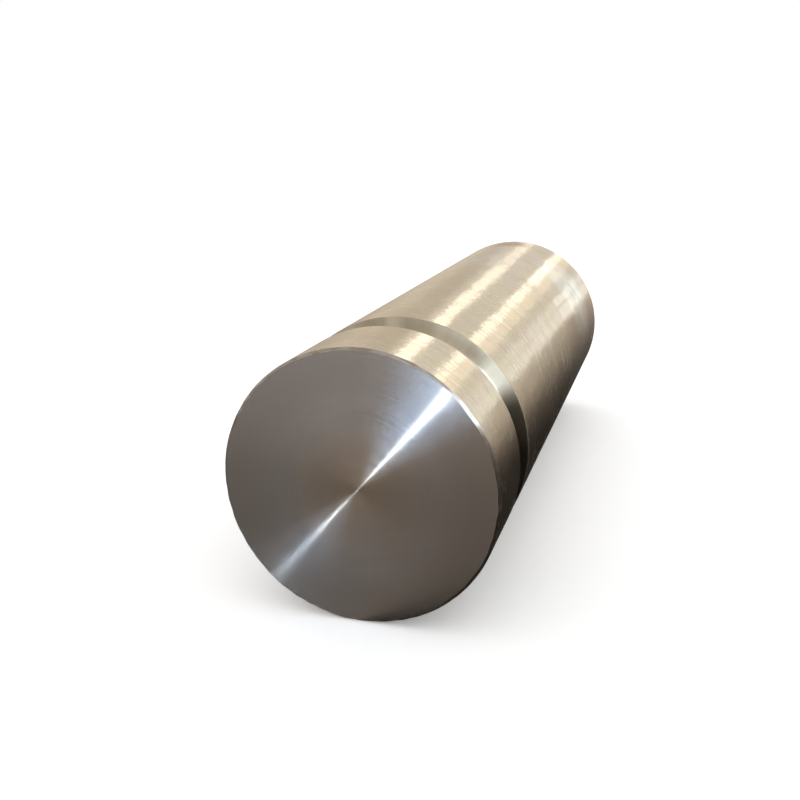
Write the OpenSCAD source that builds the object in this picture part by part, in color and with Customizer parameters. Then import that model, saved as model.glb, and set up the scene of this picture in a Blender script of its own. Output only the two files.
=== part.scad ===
// Short round bar of bright steel, turned from one length of stock. It lies on its side.
// Both ends are faced square and lightly chamfered. One square groove runs round it near the front.
//
// The bar's axis runs along Y, with the grooved front end toward -Y, and the bar rests on Z = 0.
// The origin is on the floor under the middle of the bar's length.

/* [Bar] */
// Diameter of the bar
bar_d = 50; // [25:1:120]
// Length of the bar, from the front face to the rear face
bar_l = 150; // [80:1:400]

/* [Ends] */
// Width of the 45 degree chamfer round the front face
front_chamfer = 0.5; // [0.2:0.1:2]
// Width of the 45 degree chamfer round the rear face
rear_chamfer = 0.5; // [0.2:0.1:2]
// Diameter of the point that the facing tool leaves at the middle of the front face
front_pip_d = 0.5; // [0.2:0.1:2]
// Diameter of the point that the facing tool leaves at the middle of the rear face
rear_pip_d = 0.5; // [0.2:0.1:2]
// Depth of both points below the faces
pip_depth = 0.2; // [0.1:0.05:0.5]

/* [Groove] */
// Distance from the front face to the groove's near wall
groove_offset = 18; // [5:0.5:40]
// Width of the groove along the bar
groove_w = 9; // [4:0.5:30]
// Depth of the groove below the bar's surface
groove_depth = 3; // [1.5:0.1:6]
// Radius in the two inner corners of the groove
groove_corner_r = 0.4; // [0.2:0.1:1]
// Width of the 45 degree edge break on the groove's two outer edges
groove_edge_break = 0.1; // [0.1:0.05:0.5]

/* [Hidden] */
$fn = 128;

bar_r = bar_d / 2;
groove_floor_r = bar_r - groove_depth;
groove_end = groove_offset + groove_w;
// Cutters reach this far past the surface that they cut
overshoot = 1;

// Half section of the bar without its groove. X is the radius, and Y the distance from the front face.
module blank_section() {
    polygon([
        [0, 0],
        [bar_r - front_chamfer, 0],
        [bar_r, front_chamfer],
        [bar_r, bar_l - rear_chamfer],
        [bar_r - rear_chamfer, bar_l],
        [0, bar_l],
    ]);
}

// Section of the groove, with rounded inner corners and broken outer edges
module groove_section() {
    r = groove_corner_r;
    // Between the two rounded corners, down to the floor
    translate([groove_floor_r, groove_offset + r])
        square([groove_depth + overshoot, groove_w - 2 * r]);
    // Full width, above the rounded corners
    translate([groove_floor_r + r, groove_offset])
        square([groove_depth - r + overshoot, groove_w]);
    for (y = [groove_offset + r, groove_end - r])
        translate([groove_floor_r + r, y]) circle(r = r);
    // Both outer edges, broken at 45 degrees
    polygon([
        [bar_r - groove_edge_break, groove_offset],
        [bar_r + overshoot, groove_offset - groove_edge_break - overshoot],
        [bar_r + overshoot, groove_end + groove_edge_break + overshoot],
        [bar_r - groove_edge_break, groove_end],
    ]);
}

// Section of a shallow conical point at the middle of an end face
module pip_section(d) {
    polygon([
        [0, -overshoot],
        [d / 2, -overshoot],
        [d / 2, 0],
        [0, pip_depth],
    ]);
}

module bar_section() {
    difference() {
        blank_section();
        groove_section();
        pip_section(front_pip_d);
        translate([0, bar_l]) mirror([0, 1]) pip_section(rear_pip_d);
    }
}

module round_bar() {
    color([0.78, 0.75, 0.70])
        translate([0, -bar_l / 2, bar_r])
            rotate([-90, 0, 0])
                rotate_extrude() bar_section();
}

round_bar();
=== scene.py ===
"""A short round bar of bright turned steel, lying on a pale floor.

The bar is one turned mesh that stands for the CAD node, with the finish of each turned surface in a
material of its own. Everything is in metres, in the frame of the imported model: the bar lies along Y
with its grooved end toward -Y, and the floor is Z = 0.
"""

import math

import bpy
from mathutils import Matrix, Vector, noise


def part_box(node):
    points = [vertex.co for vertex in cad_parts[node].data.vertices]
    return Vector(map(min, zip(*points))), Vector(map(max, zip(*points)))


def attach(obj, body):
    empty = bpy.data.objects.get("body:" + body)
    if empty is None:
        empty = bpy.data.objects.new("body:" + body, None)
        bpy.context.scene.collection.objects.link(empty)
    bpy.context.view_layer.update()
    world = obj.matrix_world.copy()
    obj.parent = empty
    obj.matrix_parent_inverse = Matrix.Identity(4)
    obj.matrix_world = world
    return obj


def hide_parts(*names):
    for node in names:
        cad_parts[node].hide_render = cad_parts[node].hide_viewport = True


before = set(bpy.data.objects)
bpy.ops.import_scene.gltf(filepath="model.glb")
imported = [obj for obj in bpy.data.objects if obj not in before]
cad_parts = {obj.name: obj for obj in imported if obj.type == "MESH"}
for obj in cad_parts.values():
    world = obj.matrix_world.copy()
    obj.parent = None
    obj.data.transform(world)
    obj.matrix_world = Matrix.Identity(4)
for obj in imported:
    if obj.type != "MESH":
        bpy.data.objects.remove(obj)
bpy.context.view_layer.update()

MM = 0.001

# Sizes of the bar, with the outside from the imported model
low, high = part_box("round_bar")
BAR_R = (high.z - low.z) / 2
BAR_L = high.y - low.y
FRONT_Y = low.y
AXIS_Z = low.z + BAR_R
CHAMFER = 0.5 * MM
PIP_R = 0.25 * MM
PIP_DEPTH = 0.2 * MM
GROOVE_START = 18 * MM
GROOVE_END = 27 * MM
GROOVE_DEPTH = 3 * MM
CORNER_R = 0.4 * MM
EDGE_BREAK = 0.1 * MM
# How much the width of the hand-broken edges wanders on its way round
CHAMFER_WANDER = 0.22 * MM
BREAK_WANDER = 0.05 * MM
# An edge's number is its distance from the front face in steps of this, so its two sides wander alike
EDGE_SPACING = 9 * MM

# A light brown stain at the top of the rear end, by its angle from the top and distance from the front
STAIN_TURN = -2
STAIN_ALONG = 143 * MM
# The middle of the groove's dark lower right side, where shade is painted, by its angle from the top
SHADE_TURN = 105
# A pale patch crossed by thin dark lines on the right of the rear end, a painted reflection of a bright
# lattice, placed as the stain is
GLINT_TURN = 58
GLINT_ALONG = 125 * MM
LATTICE_SPACING = 2.6 * MM
LATTICE_LENGTH = 30 * MM

# How finely the bar is turned into a mesh
ROUND_STEPS = 320
CORNER_STEPS = 5
# Edges that turn by more than this, in degrees, are shaded sharp
SHARP_DEG = 20

# Material indices of the turned bar
FACED, GROUND, GROOVED, EDGED, BROKEN = range(5)


def spread(start, end, steps):
    """Values from start to end, without the start."""
    return [start + (end - start) * i / steps for i in range(1, steps + 1)]


def corner(centre_r, centre_y, start_deg, end_deg):
    """Points round an inner corner of the groove, as (radius, distance from the front face)."""
    angles = [math.radians(start_deg + (end_deg - start_deg) * i / CORNER_STEPS)
              for i in range(CORNER_STEPS + 1)]
    return [(centre_r + CORNER_R * math.cos(a), centre_y + CORNER_R * math.sin(a)) for a in angles]


def bar_profile():
    """The bar's half section from the middle of the front face to the middle of the rear face.

    Each entry is (radius, distance from the front face, finish of the strip that ends there, wander),
    where wander is how far a broken edge strays in radius and along the bar as it goes round.
    """
    floor_r = BAR_R - GROOVE_DEPTH
    inner_r = floor_r + CORNER_R
    rim_r = BAR_R - CHAMFER
    edge_r = BAR_R - EDGE_BREAK
    still = (0.0, 0.0)
    points = [(0.0, PIP_DEPTH, FACED, still), (PIP_R, 0.0, FACED, still)]
    points += [(r, 0.0, FACED, still) for r in spread(PIP_R, rim_r - 2 * CHAMFER, 13)]
    points += [(rim_r, 0.0, FACED, (-CHAMFER_WANDER, 0.0))]
    points += [(BAR_R, CHAMFER, EDGED, (0.0, CHAMFER_WANDER))]
    points += [(BAR_R, y, GROUND, still) for y in spread(3 * CHAMFER, GROOVE_START - 5 * EDGE_BREAK, 5)]
    points += [(BAR_R, GROOVE_START - EDGE_BREAK, GROUND, (0.0, -BREAK_WANDER))]
    points += [(edge_r, GROOVE_START, BROKEN, (-BREAK_WANDER, 0.0))]
    points += [(r, GROOVE_START, GROOVED, still)
               for r in spread(edge_r - EDGE_BREAK, inner_r + EDGE_BREAK, 3)]
    points += [(r, y, GROOVED, still) for r, y in corner(inner_r, GROOVE_START + CORNER_R, 270, 180)]
    points += [(floor_r, y, GROOVED, still)
               for y in spread(GROOVE_START + CORNER_R, GROOVE_END - CORNER_R, 6)]
    points += [(r, y, GROOVED, still) for r, y in corner(inner_r, GROOVE_END - CORNER_R, 180, 90)[1:]]
    points += [(r, GROOVE_END, GROOVED, still) for r in spread(inner_r, edge_r - EDGE_BREAK, 3)]
    points += [(edge_r, GROOVE_END, GROOVED, (-BREAK_WANDER, 0.0))]
    points += [(BAR_R, GROOVE_END + EDGE_BREAK, BROKEN, (0.0, BREAK_WANDER))]
    points += [(BAR_R, y, GROUND, still)
               for y in spread(GROOVE_END + 5 * EDGE_BREAK, BAR_L - 3 * CHAMFER, 30)]
    points += [(BAR_R, BAR_L - CHAMFER, GROUND, (0.0, -CHAMFER_WANDER))]
    points += [(rim_r, BAR_L, EDGED, (-CHAMFER_WANDER, 0.0))]
    points += [(r, BAR_L, FACED, still) for r in spread(rim_r - 2 * CHAMFER, PIP_R, 14)]
    points += [(0.0, BAR_L - PIP_DEPTH, FACED, still)]
    return points


def stray(turn, edge):
    """A steady irregular value between -1 and 1, for the edge of this number at a turn in radians."""
    coarse = noise.noise(Vector((3 * math.cos(turn), 3 * math.sin(turn), edge / MM)))
    fine = noise.noise(Vector((14 * math.cos(turn), 14 * math.sin(turn), edge / MM)))
    return max(-1.0, min(1.0, 1.1 * coarse + 0.7 * fine))


def turned_bar(materials):
    """The whole bar as one closed mesh, with a map whose U runs round it and V along its section."""
    points = bar_profile()
    lengths = [0.0]
    for (r0, y0, _, _), (r1, y1, _, _) in zip(points, points[1:]):
        lengths.append(lengths[-1] + math.hypot(r1 - r0, y1 - y0))
    rings = points[1:-1]
    verts = [(0.0, FRONT_Y + points[0][1], AXIS_Z)]
    for r, y, _, (stray_r, stray_y) in rings:
        for step in range(ROUND_STEPS):
            turn = 2 * math.pi * step / ROUND_STEPS
            amount = stray(turn, round(y / EDGE_SPACING)) if stray_r or stray_y else 0.0
            here = r + stray_r * amount
            verts.append((-here * math.sin(turn), FRONT_Y + y + stray_y * amount,
                          AXIS_Z - here * math.cos(turn)))
    verts.append((0.0, FRONT_Y + points[-1][1], AXIS_Z))

    def vert(ring, step):
        return 1 + ring * ROUND_STEPS + step % ROUND_STEPS

    faces, finishes, maps = [], [], []
    for step in range(ROUND_STEPS):
        u0, u1 = step / ROUND_STEPS, (step + 1) / ROUND_STEPS
        faces.append((0, vert(0, step), vert(0, step + 1)))
        finishes.append(FACED)
        maps.append([((u0 + u1) / 2, 0.0), (u0, lengths[1]), (u1, lengths[1])])
        for ring in range(len(rings) - 1):
            v0, v1 = lengths[ring + 1], lengths[ring + 2]
            faces.append((vert(ring, step), vert(ring + 1, step),
                          vert(ring + 1, step + 1), vert(ring, step + 1)))
            finishes.append(rings[ring + 1][2])
            maps.append([(u0, v0), (u0, v1), (u1, v1), (u1, v0)])
        last = len(rings) - 1
        faces.append((vert(last, step), len(verts) - 1, vert(last, step + 1)))
        finishes.append(FACED)
        maps.append([(u0, lengths[-2]), ((u0 + u1) / 2, lengths[-1]), (u1, lengths[-2])])

    mesh = bpy.data.meshes.new("turned_bar")
    mesh.from_pydata(verts, [], faces)
    for material in materials:
        mesh.materials.append(material)
    mesh.polygons.foreach_set("material_index", finishes)
    layer = mesh.uv_layers.new(name="OFBake")
    total = lengths[-1]
    flat = [value for corners in maps for u, v in corners for value in (u, v / total)]
    layer.data.foreach_set("uv", flat)
    mesh.update()
    mesh.validate()
    mesh.shade_smooth()
    mesh.set_sharp_from_angle(angle=math.radians(SHARP_DEG))
    bar = bpy.data.objects.new("turned_bar", mesh)
    bpy.context.scene.collection.objects.link(bar)
    return bar


class Nodes:
    """A short way to build a material's node tree."""

    def __init__(self, name):
        self.material = bpy.data.materials.new(name)
        self.material.use_nodes = True
        self.tree = self.material.node_tree
        self.shader = self.tree.nodes["Principled BSDF"]

    def add(self, kind, **values):
        node = self.tree.nodes.new(kind)
        for key, value in values.items():
            setattr(node, key, value)
        return node

    def link(self, source, target):
        self.tree.links.new(source, target)

    def math(self, operation, a, b=None, c=None):
        node = self.add("ShaderNodeMath", operation=operation)
        for socket, value in zip(node.inputs, (a, b, c)):
            self.put(value, socket)
        return node.outputs[0]

    def vector_math(self, operation, a, b=None, scale=None):
        node = self.add("ShaderNodeVectorMath", operation=operation)
        self.put(a, node.inputs[0])
        self.put(b, node.inputs[1])
        if scale is not None:
            self.put(scale, node.inputs["Scale"])
        return node.outputs["Value" if operation in ("LENGTH", "DOT_PRODUCT") else "Vector"]

    def put(self, value, socket):
        """Set a socket to a plain value, or link another node's output to it."""
        if value is None:
            return
        if isinstance(value, bpy.types.NodeSocket):
            self.link(value, socket)
        else:
            socket.default_value = value

    def ramp(self, value, low_in, high_in, low_out, high_out):
        """Map a value smoothly from one range to another, clamped."""
        node = self.add("ShaderNodeMapRange", interpolation_type="SMOOTHSTEP")
        for socket, number in zip(node.inputs, (value, low_in, high_in, low_out, high_out)):
            self.put(number, socket)
        return node.outputs[0]

    def blend(self, factor, first, second):
        """A colour between two colours."""
        node = self.add("ShaderNodeMix", data_type="RGBA")
        self.put(factor, node.inputs["Factor"])
        for name, colour in (("A", first), ("B", second)):
            socket = [i for i in node.inputs if i.name == name and i.type == "RGBA"][0]
            self.put(colour if isinstance(colour, bpy.types.NodeSocket) else (*colour, 1), socket)
        return [o for o in node.outputs if o.type == "RGBA"][0]

    def bump(self, height, distance, normal=None):
        node = self.add("ShaderNodeBump")
        node.inputs["Distance"].default_value = distance
        self.link(height, node.inputs["Height"])
        if normal:
            self.link(normal, node.inputs["Normal"])
        return node.outputs["Normal"]


class Steel(Nodes):
    """Bare steel whose tool marks run round the bar, so that it spreads light across them."""

    def __init__(self, name, anisotropic):
        super().__init__(name)
        shader = self.shader
        shader.inputs["Metallic"].default_value = 1
        shader.inputs["Anisotropic"].default_value = anisotropic
        shader.inputs["Anisotropic Rotation"].default_value = 0.25
        tangent = self.add("ShaderNodeTangent", direction_type="UV_MAP", uv_map="OFBake")
        self.link(tangent.outputs[0], shader.inputs["Tangent"])
        place = self.add("ShaderNodeTexCoord").outputs["Object"]
        from_axis = self.vector_math("SUBTRACT", place, (0, 0, AXIS_Z))
        from_axis = self.vector_math("MULTIPLY", from_axis, (1, 0, 1))
        self.place = place
        self.radius = self.vector_math("LENGTH", from_axis)
        self.outward = self.vector_math("NORMALIZE", from_axis)
        parts = self.add("ShaderNodeSeparateXYZ")
        self.link(place, parts.inputs[0])
        self.along = self.math("SUBTRACT", parts.outputs["Y"], FRONT_Y)

    def near(self, turn_deg, along, inner, outer):
        """1 within the inner distance of a point of the side, down to 0 at the outer distance."""
        turn = math.radians(turn_deg)
        point = (BAR_R * math.sin(turn), FRONT_Y + along, AXIS_Z + BAR_R * math.cos(turn))
        away = self.vector_math("LENGTH", self.vector_math("SUBTRACT", self.place, point))
        return self.ramp(away, inner, outer, 1.0, 0.0)

    def lattice_lines(self, turn_deg, slope, shift):
        """0 on thin lines that cross the side at a slope near this turn, and up to 1 between them; these
        are the dark lines of a painted reflection.
        """
        turn = math.radians(turn_deg)
        across = self.vector_math("DOT_PRODUCT", self.place, (math.cos(turn), 0, -math.sin(turn)))
        spot = self.add("ShaderNodeCombineXYZ")
        self.put(self.math("MULTIPLY_ADD", across, slope, self.along), spot.inputs["X"])
        self.put(self.math("MULTIPLY_ADD", self.along, -slope, across), spot.inputs["Y"])
        scale = (1 / LATTICE_SPACING, 1 / LATTICE_LENGTH, 0)
        spot = self.vector_math("MULTIPLY", spot.outputs[0], scale)
        lines = self.add("ShaderNodeTexNoise", noise_dimensions="3D")
        lines.inputs["Scale"].default_value = 1
        lines.inputs["Detail"].default_value = 1
        self.link(self.vector_math("ADD", spot, (shift, shift, shift)), lines.inputs["Vector"])
        off = self.math("ABSOLUTE", self.math("SUBTRACT", lines.outputs["Fac"], 0.5))
        return self.ramp(off, 0.003, 0.030, 0.0, 1.0)

    def leaned(self, rings, amount):
        """The surface's normal, leaned toward or away from the axis by rings of noise."""
        normal = self.add("ShaderNodeNewGeometry").outputs["Normal"]
        lean = self.math("MULTIPLY_ADD", rings, amount, -amount / 2)
        lean = self.vector_math("SCALE", self.outward, scale=lean)
        return self.vector_math("NORMALIZE", self.vector_math("ADD", normal, lean))

    def noise(self, distance, around, pitch, detail, shift):
        """Noise with patches of this pitch along the distance, and of this length round the surface."""
        spin = self.vector_math("SCALE", self.outward, scale=BAR_R / around)
        line = self.add("ShaderNodeCombineXYZ")
        self.put(self.math("MULTIPLY_ADD", distance, 1 / pitch, shift), line.inputs["Y"])
        node = self.add("ShaderNodeTexNoise")
        node.inputs["Scale"].default_value = 1
        node.inputs["Detail"].default_value = detail
        self.link(self.vector_math("ADD", spin, line.outputs[0]), node.inputs["Vector"])
        return node.outputs["Fac"]


def faced_steel():
    """A lathe-faced end: greyer than the side, with fine rings, and tinted brown round its middle.

    The rings are finer than a pixel. They lean the surface toward and away from the axis, which spreads
    a lamp's light into a streak.
    """
    steel = Steel("faced_steel", 1.0)
    rings = steel.noise(steel.radius, 900 * MM, 0.006 * MM, detail=0, shift=3.7)
    smears = steel.noise(steel.radius, 14 * MM, 5 * MM, detail=3, shift=8.1)
    shader = steel.shader
    colour = steel.blend(steel.ramp(smears, 0.3, 0.7, 0, 1), (0.57, 0.56, 0.56), (0.61, 0.595, 0.585))
    stain = steel.math("MULTIPLY", steel.ramp(steel.radius, 1 * MM, 17 * MM, 1.0, 0.0),
                       steel.ramp(smears, 0.25, 0.75, 0.6, 1.0))
    colour = steel.blend(stain, colour, (0.60, 0.49, 0.38))
    outer = steel.ramp(steel.radius, 9 * MM, 23 * MM, 0.0, 1.0)
    colour = steel.blend(outer, colour, (0.51, 0.485, 0.465))
    tone = steel.noise(steel.radius, 70 * MM, 0.35 * MM, detail=2, shift=9.4)
    colour = steel.blend(steel.ramp(tone, 0.35, 0.65, 0.0, 0.04), colour, (0.36, 0.34, 0.33))
    steel.link(colour, shader.inputs["Base Color"])
    steel.link(steel.ramp(smears, 0.25, 0.75, 0.145, 0.160), shader.inputs["Roughness"])
    steel.link(steel.leaned(rings, 1.0), shader.inputs["Normal"])
    return steel.material


def ground_steel():
    """The side: bright, with fine marks round it, long faint waves and a few dull smudges."""
    steel = Steel("ground_steel", 0.8)
    marks = steel.noise(steel.along, 60 * MM, 0.35 * MM, detail=2, shift=5.3)
    waves = steel.noise(steel.along, 4 * MM, 7 * MM, detail=3, shift=1.9)
    smudges = steel.noise(steel.along, 9 * MM, 14 * MM, detail=4, shift=7.7)
    tints = steel.noise(steel.along, 6 * MM, 11 * MM, detail=3, shift=12.9)
    passes = steel.noise(steel.along, 25 * MM, 0.9 * MM, detail=3, shift=17.3)
    shader = steel.shader
    shader.inputs["Specular Tint"].default_value = (0.88, 0.84, 0.78, 1)
    mottle = steel.ramp(smudges, 0.3, 0.7, 0, 1)
    colour = steel.blend(mottle, (0.625, 0.525, 0.40), (0.68, 0.585, 0.455))
    cream = steel.blend(mottle, (0.63, 0.54, 0.385), (0.675, 0.59, 0.435))
    colour = steel.blend(steel.ramp(tints, 0.35, 0.65, 0, 1), colour, cream)
    grain = steel.noise(steel.along, 2.5 * MM, 0.8 * MM, detail=3, shift=21.1)
    colour = steel.blend(steel.ramp(grain, 0.35, 0.65, 0.0, 0.16), colour, (0.40, 0.35, 0.27))
    stain = steel.math("MULTIPLY", steel.near(STAIN_TURN, STAIN_ALONG, 2 * MM, 8 * MM),
                       steel.ramp(grain, 0.3, 0.6, 0.5, 1.0))
    colour = steel.blend(stain, colour, (0.44, 0.30, 0.21))
    steel.link(steel.math("MULTIPLY_ADD", stain, -0.9, 1.0), shader.inputs["Metallic"])
    # The painted reflection of a bright lattice: a pale patch with three sets of thin dark lines, each
    # at a slope and a shift of its own
    patch = steel.near(GLINT_TURN, GLINT_ALONG, 4 * MM, 18 * MM)
    glint = steel.math("MULTIPLY", patch, steel.ramp(tints, 0.25, 0.6, 0.5, 1.0))
    colour = steel.blend(glint, colour, (0.87, 0.86, 0.78))
    for slope, shift in ((0.55, 3.1), (-0.7, 8.4), (0.1, 15.2)):
        lines = steel.math("MULTIPLY_ADD", steel.lattice_lines(GLINT_TURN, slope, shift), -0.35, 0.35)
        colour = steel.blend(steel.math("MULTIPLY", patch, lines), colour, (0.50, 0.44, 0.35))
    steel.link(colour, shader.inputs["Base Color"])
    # The side is a little smoother toward the rear, most of all between 101 mm and 112 mm
    rear = steel.ramp(steel.along, 93 * MM, 101 * MM, 0, 1)
    fade = steel.ramp(steel.along, 112 * MM, 128 * MM, 1, 0.35)
    polish = steel.math("MULTIPLY", steel.math("MULTIPLY", rear, fade), 0.08)
    rough = steel.ramp(smudges, 0.25, 0.75, 0.225, 0.260)
    rough = steel.math("ADD", rough, steel.ramp(passes, 0.3, 0.7, -0.035, 0.035))
    rough = steel.math("MULTIPLY_ADD", stain, 0.25, steel.math("SUBTRACT", rough, polish))
    steel.link(rough, shader.inputs["Roughness"])
    normal = steel.bump(waves, 0.11 * MM)
    steel.link(steel.bump(marks, 0.006 * MM, normal), shader.inputs["Normal"])
    return steel.material


def grooved_steel():
    """The groove: turned with a narrow tool, coarser and duller than the side, with painted shade on its
    lower right side.
    """
    steel = Steel("grooved_steel", 1.0)
    marks = steel.noise(steel.along, 300 * MM, 0.25 * MM, detail=2, shift=2.1)
    patches = steel.noise(steel.along, 5 * MM, 4 * MM, detail=2, shift=6.6)
    shader = steel.shader
    colour = steel.blend(steel.ramp(patches, 0.3, 0.7, 0, 1), (0.52, 0.46, 0.35), (0.74, 0.68, 0.56))
    turn = math.radians(SHADE_TURN)
    side = steel.vector_math("DOT_PRODUCT", steel.outward, (math.sin(turn), 0, math.cos(turn)))
    side = steel.math("MULTIPLY_ADD", patches, 0.10, side)
    # Painted shade: the groove's colour darkens toward its lower right side, where the bar shades it
    colour = steel.blend(steel.ramp(side, 0.74, 0.86, 0.0, 0.8), colour, (0.17, 0.15, 0.11))
    steel.link(colour, shader.inputs["Base Color"])
    shader.inputs["Roughness"].default_value = 0.40
    steel.link(steel.bump(marks, 0.07 * MM), shader.inputs["Normal"])
    return steel.material


def edged_steel():
    """The chamfers, filed by hand and nicked."""
    steel = Steel("edged_steel", 0.95)
    nicks = steel.noise(steel.along, 3 * MM, 0.6 * MM, detail=4, shift=4.4)
    shader = steel.shader
    colour = steel.blend(steel.ramp(nicks, 0.35, 0.6, 0, 1), (0.28, 0.24, 0.20), (0.42, 0.37, 0.31))
    steel.link(colour, shader.inputs["Base Color"])
    shader.inputs["Roughness"].default_value = 0.42
    steel.link(steel.bump(nicks, 0.05 * MM), shader.inputs["Normal"])
    return steel.material


def broken_steel():
    """The two edges of the groove, dulled with a stone."""
    steel = Steel("broken_steel", 0.3)
    shader = steel.shader
    shader.inputs["Base Color"].default_value = (0.42, 0.36, 0.28, 1)
    shader.inputs["Roughness"].default_value = 0.5
    return steel.material


def finishes():
    """The materials in the order of the indices FACED, GROUND, GROOVED, EDGED, BROKEN."""
    return [faced_steel(), ground_steel(), grooved_steel(), edged_steel(), broken_steel()]


bar = turned_bar(finishes())
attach(bar, "root")
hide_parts("round_bar")


# Camera, as fitted to the photograph: in bar radii from the middle of the front face
CAMERA_AT = Vector((2.0436, -5.7433, 2.4247))
CAMERA_RIGHT = Vector((0.95723, 0.28933, 0.0))
CAMERA_AHEAD = Vector((-0.27770, 0.91876, -0.28063))
FOCAL_PX = 954.85
FRAME_PX = 800
SENSOR_MM = 36


def place_camera():
    """Put the camera where it was fitted, looking along the fitted directions."""
    data = bpy.data.cameras.new("camera")
    data.sensor_width = SENSOR_MM
    data.sensor_fit = "HORIZONTAL"
    data.lens = SENSOR_MM * FOCAL_PX / FRAME_PX
    data.clip_start = 1 * MM
    data.clip_end = 100
    camera = bpy.data.objects.new("camera", data)
    bpy.context.scene.collection.objects.link(camera)
    ahead = CAMERA_AHEAD.normalized()
    right = (CAMERA_RIGHT - ahead * CAMERA_RIGHT.dot(ahead)).normalized()
    up = right.cross(ahead)
    turn = Matrix((right, up, -ahead)).transposed()
    place = Vector((0, FRONT_Y, AXIS_Z)) + CAMERA_AT * BAR_R
    camera.matrix_world = Matrix.Translation(place) @ turn.to_4x4()
    bpy.context.scene.camera = camera


def plane(name, centre, along, across, size):
    """A flat rectangle of size (along, across), facing the cross product of the two directions."""
    along = Vector(along).normalized()
    across = Vector(across)
    across = (across - along * across.dot(along)).normalized()
    a, b = along * size[0] / 2, across * size[1] / 2
    centre = Vector(centre)
    mesh = bpy.data.meshes.new(name)
    corners = [centre - a - b, centre + a - b, centre + a + b, centre - a + b]
    mesh.from_pydata(corners, [], [(0, 1, 2, 3)])
    thing = bpy.data.objects.new(name, mesh)
    bpy.context.scene.collection.objects.link(thing)
    return thing


# How much brighter than its paint the floor looks to the camera
FLOOR_LIFT = 0.18


def floor_paint():
    """White paint, lifted a little for the camera alone, so that only the nearer shadow shows."""
    nodes = Nodes("floor_paint")
    nodes.shader.inputs["Base Color"].default_value = (0.99, 0.99, 0.99, 1)
    nodes.shader.inputs["Roughness"].default_value = 0.8
    nodes.shader.inputs["Specular IOR Level"].default_value = 0
    nodes.shader.inputs["Emission Color"].default_value = (1, 1, 1, 1)
    seen = nodes.add("ShaderNodeLightPath").outputs["Is Camera Ray"]
    nodes.link(nodes.math("MULTIPLY", seen, FLOOR_LIFT), nodes.shader.inputs["Emission Strength"])
    return nodes.material


def only_in_reflections(thing):
    """A card that the studio puts beside the bar, which only its reflections show."""
    thing.visible_camera = False
    thing.visible_diffuse = False
    thing.visible_shadow = False
    thing.visible_transmission = False
    thing.visible_volume_scatter = False


def glow(name, colour, level, stops=None, centre=(0, 0, 0), axes=(1, 1, 1)):
    """A card's material: an even glow, or one that changes with the distance from a centre.

    Each stop is (distance in metres, multiple of the level). axes picks the directions that count.
    """
    nodes = Nodes(name)
    nodes.tree.nodes.remove(nodes.shader)
    emission = nodes.add("ShaderNodeEmission")
    emission.inputs["Color"].default_value = (*colour, 1)
    emission.inputs["Strength"].default_value = level
    nodes.link(emission.outputs[0], nodes.tree.nodes["Material Output"].inputs["Surface"])
    if stops:
        place = nodes.add("ShaderNodeNewGeometry").outputs["Position"]
        away = nodes.vector_math("SUBTRACT", place, centre)
        away = nodes.vector_math("LENGTH", nodes.vector_math("MULTIPLY", away, axes))
        ramp = nodes.add("ShaderNodeValToRGB")
        nodes.link(away, ramp.inputs[0])
        elements = ramp.color_ramp.elements
        while len(elements) < len(stops):
            elements.new(0.5)
        for element, (distance, value) in zip(elements, stops):
            element.position = distance
            element.color = (value, value, value, 1)
        nodes.link(nodes.math("MULTIPLY", ramp.outputs[0], level), emission.inputs["Strength"])
        nodes.material.cycles.emission_sampling = "NONE"
    return nodes.material


def reflected_card(name, place, along, across, size, colour, level,
                   stops=None, centre=(0, 0, 0), axes=(1, 1, 1)):
    """An upright or level rectangle beside the bar, which only the bar's reflections show."""
    card = plane(name, place, along, across, size)
    card.data.materials.append(glow(name + "_glow", colour, level, stops, centre, axes))
    only_in_reflections(card)
    return card


def let_through(material):
    """Let a glowing card show what is behind it, and have it sampled as a lamp is."""
    tree = material.node_tree
    output = tree.nodes["Material Output"].inputs["Surface"]
    both = tree.nodes.new("ShaderNodeAddShader")
    clear = tree.nodes.new("ShaderNodeBsdfTransparent")
    tree.links.new(output.links[0].from_socket, both.inputs[0])
    tree.links.new(clear.outputs[0], both.inputs[1])
    tree.links.new(both.outputs[0], output)
    material.cycles.emission_sampling = "FRONT_BACK"


def sector(start_deg, end_deg, reach):
    """Corners of a sector of the bench in front of the bar, between two azimuths."""
    corners = [(0, FRONT_Y)]
    for azimuth in (start_deg, end_deg):
        turn = math.radians(azimuth)
        corners.append((math.sin(turn) * reach, FRONT_Y + math.cos(turn) * reach))
    return corners


def bench_card(name, corners, colour, level, stops=None):
    """A part of the bench with its corners given as (x, y), which only the bar's reflections show."""
    mesh = bpy.data.meshes.new(name)
    mesh.from_pydata([(x, y, 0.10 * MM) for x, y in corners], [], [tuple(range(len(corners)))])
    card = bpy.data.objects.new(name, mesh)
    bpy.context.scene.collection.objects.link(card)
    paint = glow(name + "_glow", colour, level, stops, (0, FRONT_Y, 0), (1, 1, 0))
    card.data.materials.append(paint)
    only_in_reflections(card)


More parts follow.
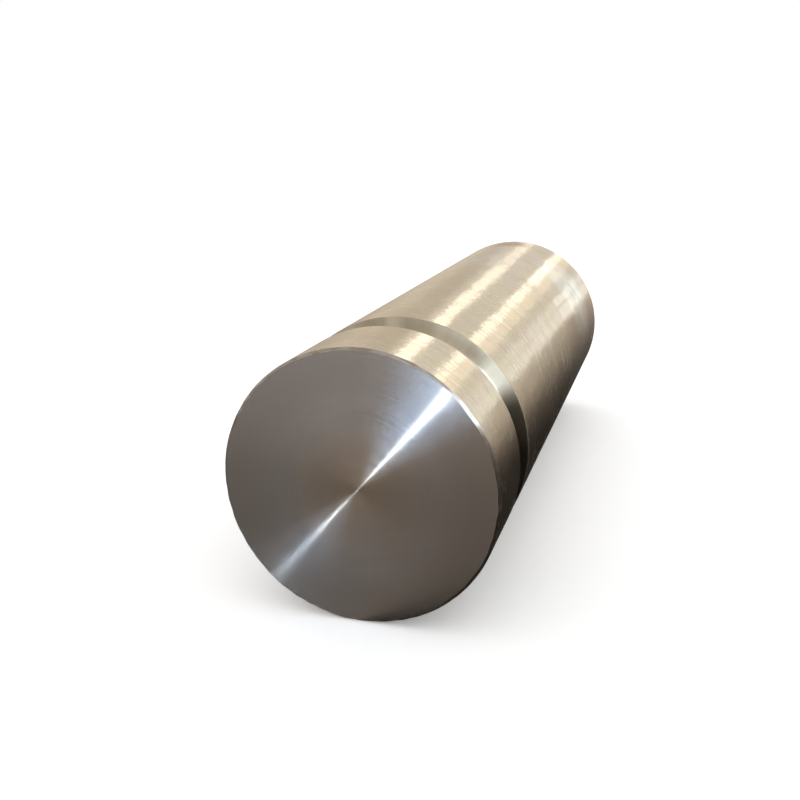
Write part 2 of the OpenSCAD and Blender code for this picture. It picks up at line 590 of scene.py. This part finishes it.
def build_studio():
    """The floor, the bench and room that the bar reflects, and the plain world."""
    floor = plane("floor", (0, 0, 0), (1, 0, 0), (0, 1, 0), (12, 12))
    floor.data.materials.append(floor_paint())

    # The bar stood on a dark bench, whose glow darkens further toward the bar, painted shade of the
    # bar's own shadow, and is paler farther off
    stops = [(0.12, 0.03), (0.19, 0.09), (0.245, 0.18), (0.33, 0.33), (0.45, 0.44), (0.62, 0.52),
             (1.0, 0.60)]
    reflected_card("wide_bench", (0, 0, 0.05 * MM), (1, 0, 0), (0, 1, 0), (8, 8), (1.0, 0.91, 0.86), 1.0,
                   stops, (0, FRONT_Y, 0), (1, 1, 0))
    # In front of the grooved end the bench is brown and dim near the bar, greyer farther off, and dark
    # on the right
    stops = [(0.05, 0.19), (0.09, 0.23), (0.13, 0.31), (0.20, 0.39), (0.35, 0.46)]
    bench_card("bench_front_left", sector(190, 270, 1.2), (1.0, 0.90, 0.82), 1.0, stops)
    bench_card("bench_front_middle", sector(135, 190, 1.2), (1.0, 0.85, 0.72), 1.0, stops)
    bench_card("bench_front_right", sector(90, 135, 1.2), (1.0, 0.84, 0.70), 0.02)
    # A pale thing on the bench far beyond the rear end
    bench_card("bench_far_patch", [(0.06, 0.60), (0.13, 0.60), (0.34, 1.80), (0.17, 1.80)],
               (1.0, 0.97, 0.90), 2.2)
    # The dim side of the room, in front of the grooved end
    stops = [(0.0, 0.30), (0.10, 0.55), (0.25, 0.95), (0.6, 1.3)]
    reflected_card("room_in_front", (-0.1, -0.9, 0.30), (-1, 0, 0), (0, 0, 1), (2.4, 0.6),
                   (1.0, 0.95, 0.92), 1.0, stops, (0, 0, 0), (0, 0, 1))
    # Dark things on the right, low down
    reflected_card("room_on_the_right", (0.8, -0.15, 0.10), (0, 1, 0), (0, 0, 1), (1.5, 0.20),
                   (1.0, 0.93, 0.88), 0.12)

    world = bpy.data.worlds.new("studio")
    bpy.context.scene.world = world
    world.use_nodes = True
    background = world.node_tree.nodes["Background"]
    background.inputs["Color"].default_value = (1, 1, 1, 1)
    background.inputs["Strength"].default_value = 1.0


# Distance of the lamps, windows and walls from the bar, unless they say otherwise
LAMP_DISTANCE = 2.5


def toward(azimuth, elevation, distance):
    """A point at a distance from the bar, by azimuth from +Y toward +X and elevation."""
    a, e = math.radians(azimuth), math.radians(elevation)
    way = Vector((math.sin(a) * math.cos(e), math.cos(a) * math.cos(e), math.sin(e)))
    return Vector((0, 0, AXIS_Z)) + way * distance


def light_card(name, corners, radiance, colour, only_reflected=False, distance=LAMP_DISTANCE):
    """A glowing card at a distance from the bar, with its corners given as (azimuth, elevation)."""
    mesh = bpy.data.meshes.new(name)
    corners = [toward(a, e, distance) for a, e in corners]
    mesh.from_pydata(corners, [], [tuple(range(len(corners)))])
    card = bpy.data.objects.new(name, mesh)
    bpy.context.scene.collection.objects.link(card)
    card.data.materials.append(glow(name + "_glow", colour, radiance))
    card.visible_camera = False
    if only_reflected:
        only_in_reflections(card)
        card.data.materials[0].cycles.emission_sampling = "NONE"


def facing_light(name, place, target, size, radiance, colour, roll_deg):
    """A flat oval light that faces a point of the bar, and that only the bar shows."""
    data = bpy.data.lights.new(name, "AREA")
    data.shape = "ELLIPSE"
    data.size, data.size_y = size
    data.color = colour
    data.energy = radiance * math.pi * size[0] * size[1]
    lamp = bpy.data.objects.new(name, data)
    bpy.context.scene.collection.objects.link(lamp)
    back = (Vector(place) - Vector(target)).normalized()
    right = Vector((0, 0, 1)).cross(back).normalized()
    up = back.cross(right)
    roll = math.radians(roll_deg)
    x = right * math.cos(roll) + up * math.sin(roll)
    y = up * math.cos(roll) - right * math.sin(roll)
    turn = Matrix((x, y, back)).transposed()
    lamp.matrix_world = Matrix.Translation(Vector(place)) @ turn.to_4x4()
    lamp.visible_camera = False
    lamp.visible_diffuse = False


def light_studio():
    """The lamps, windows and walls round the bar."""
    warm = (1.0, 0.99, 0.97)
    cool = (0.88, 0.94, 1.0)
    light_card("lamp_one", [(-8.2, 16), (-3.6, 16), (0.6, 34), (-4.4, 34)], 3.0, warm)
    light_card("lamp_two", [(3.2, 12), (6.8, 12), (13.0, 22), (9.0, 22)], 3.4, warm)
    light_card("lamp_two_side", [(6.8, 12), (11.4, 11.4), (19, 19), (13, 22)], 1.9, (1.0, 0.95, 0.86))
    light_card("window_upper", [(7.5, 3), (13.5, 8.2), (19, 8.2), (10, 2)], 1.85, cool)
    light_card("window_lower", [(11, 2.2), (20, 8), (26, 7), (21.5, 3.7), (15, 0.3)], 1.8, cool)
    light_card("lamp_left", [(-25, 10), (-20.5, 10), (-22, 26), (-27.5, 26)], 5.2, warm)
    dim = (1.0, 0.95, 0.88)
    light_card("right_window",
               [(118, 24), (135, 18.5), (155, 10.5), (155, 25), (135, 34), (118, 42)],
               11.0, (0.67, 0.81, 1.0), only_reflected=True, distance=0.7)
    light_card("left_wall", [(-80, -0.5), (-13.5, -0.5), (-11.5, 8), (-9, 30), (-7, 50), (-80, 50)],
               0.78, dim, only_reflected=True)
    light_card("low_wall", [(17.5, -0.5), (80, -0.5), (80, 3.6), (21.5, 3.6), (17.5, 1.5)],
               0.62, dim, only_reflected=True)


# The streak across the front face: its tilt above level in degrees, seen from the front, and how far
# in front of the face its lamp and the softer lights round it stand
STREAK_TILT = 50.4
STREAK_LAMP_AHEAD = 0.60
HALO_AHEAD = 0.30


def light_face():
    """The lamp whose reflection is the streak, and the softer glow on both sides of it."""
    face_centre = Vector((0, FRONT_Y, AXIS_Z))
    tilt = math.radians(STREAK_TILT)
    streak = Vector((math.cos(tilt), 0, math.sin(tilt)))
    beside = Vector((-streak.z, 0, streak.x))
    ahead = face_centre + Vector((0, -HALO_AHEAD, 0))
    roll = STREAK_TILT - 90
    target = face_centre - streak * 0.026 - beside * 0.0015
    lamp_place = target + Vector((0, -STREAK_LAMP_AHEAD, 0))
    facing_light("streak_lamp", lamp_place, target, (0.010, 0.05), 290, (0.70, 0.86, 1.0), roll)
    # A soft blue glow beside the lamp, which fades away from its middle
    halo = ahead + streak * 0.03 + beside * 0.013
    stops = [(0.0, 1.0), (0.015, 0.80), (0.030, 0.52), (0.048, 0.22), (0.075, 0.0)]
    card = reflected_card("halo_card", halo, (1, 0, 0), (0, 0, 1), (0.16, 0.16), (0.46, 0.68, 1.0), 8.5,
                          stops, halo)
    let_through(card.data.materials[0])
    facing_light("wide_halo_lamp", ahead + streak * 0.02, face_centre, (0.26, 0.10), 0.40,
                 (0.80, 0.86, 1.0), roll)


place_camera()
build_studio()
light_studio()
light_face()

scene = bpy.context.scene
scene.view_settings.view_transform = "Standard"
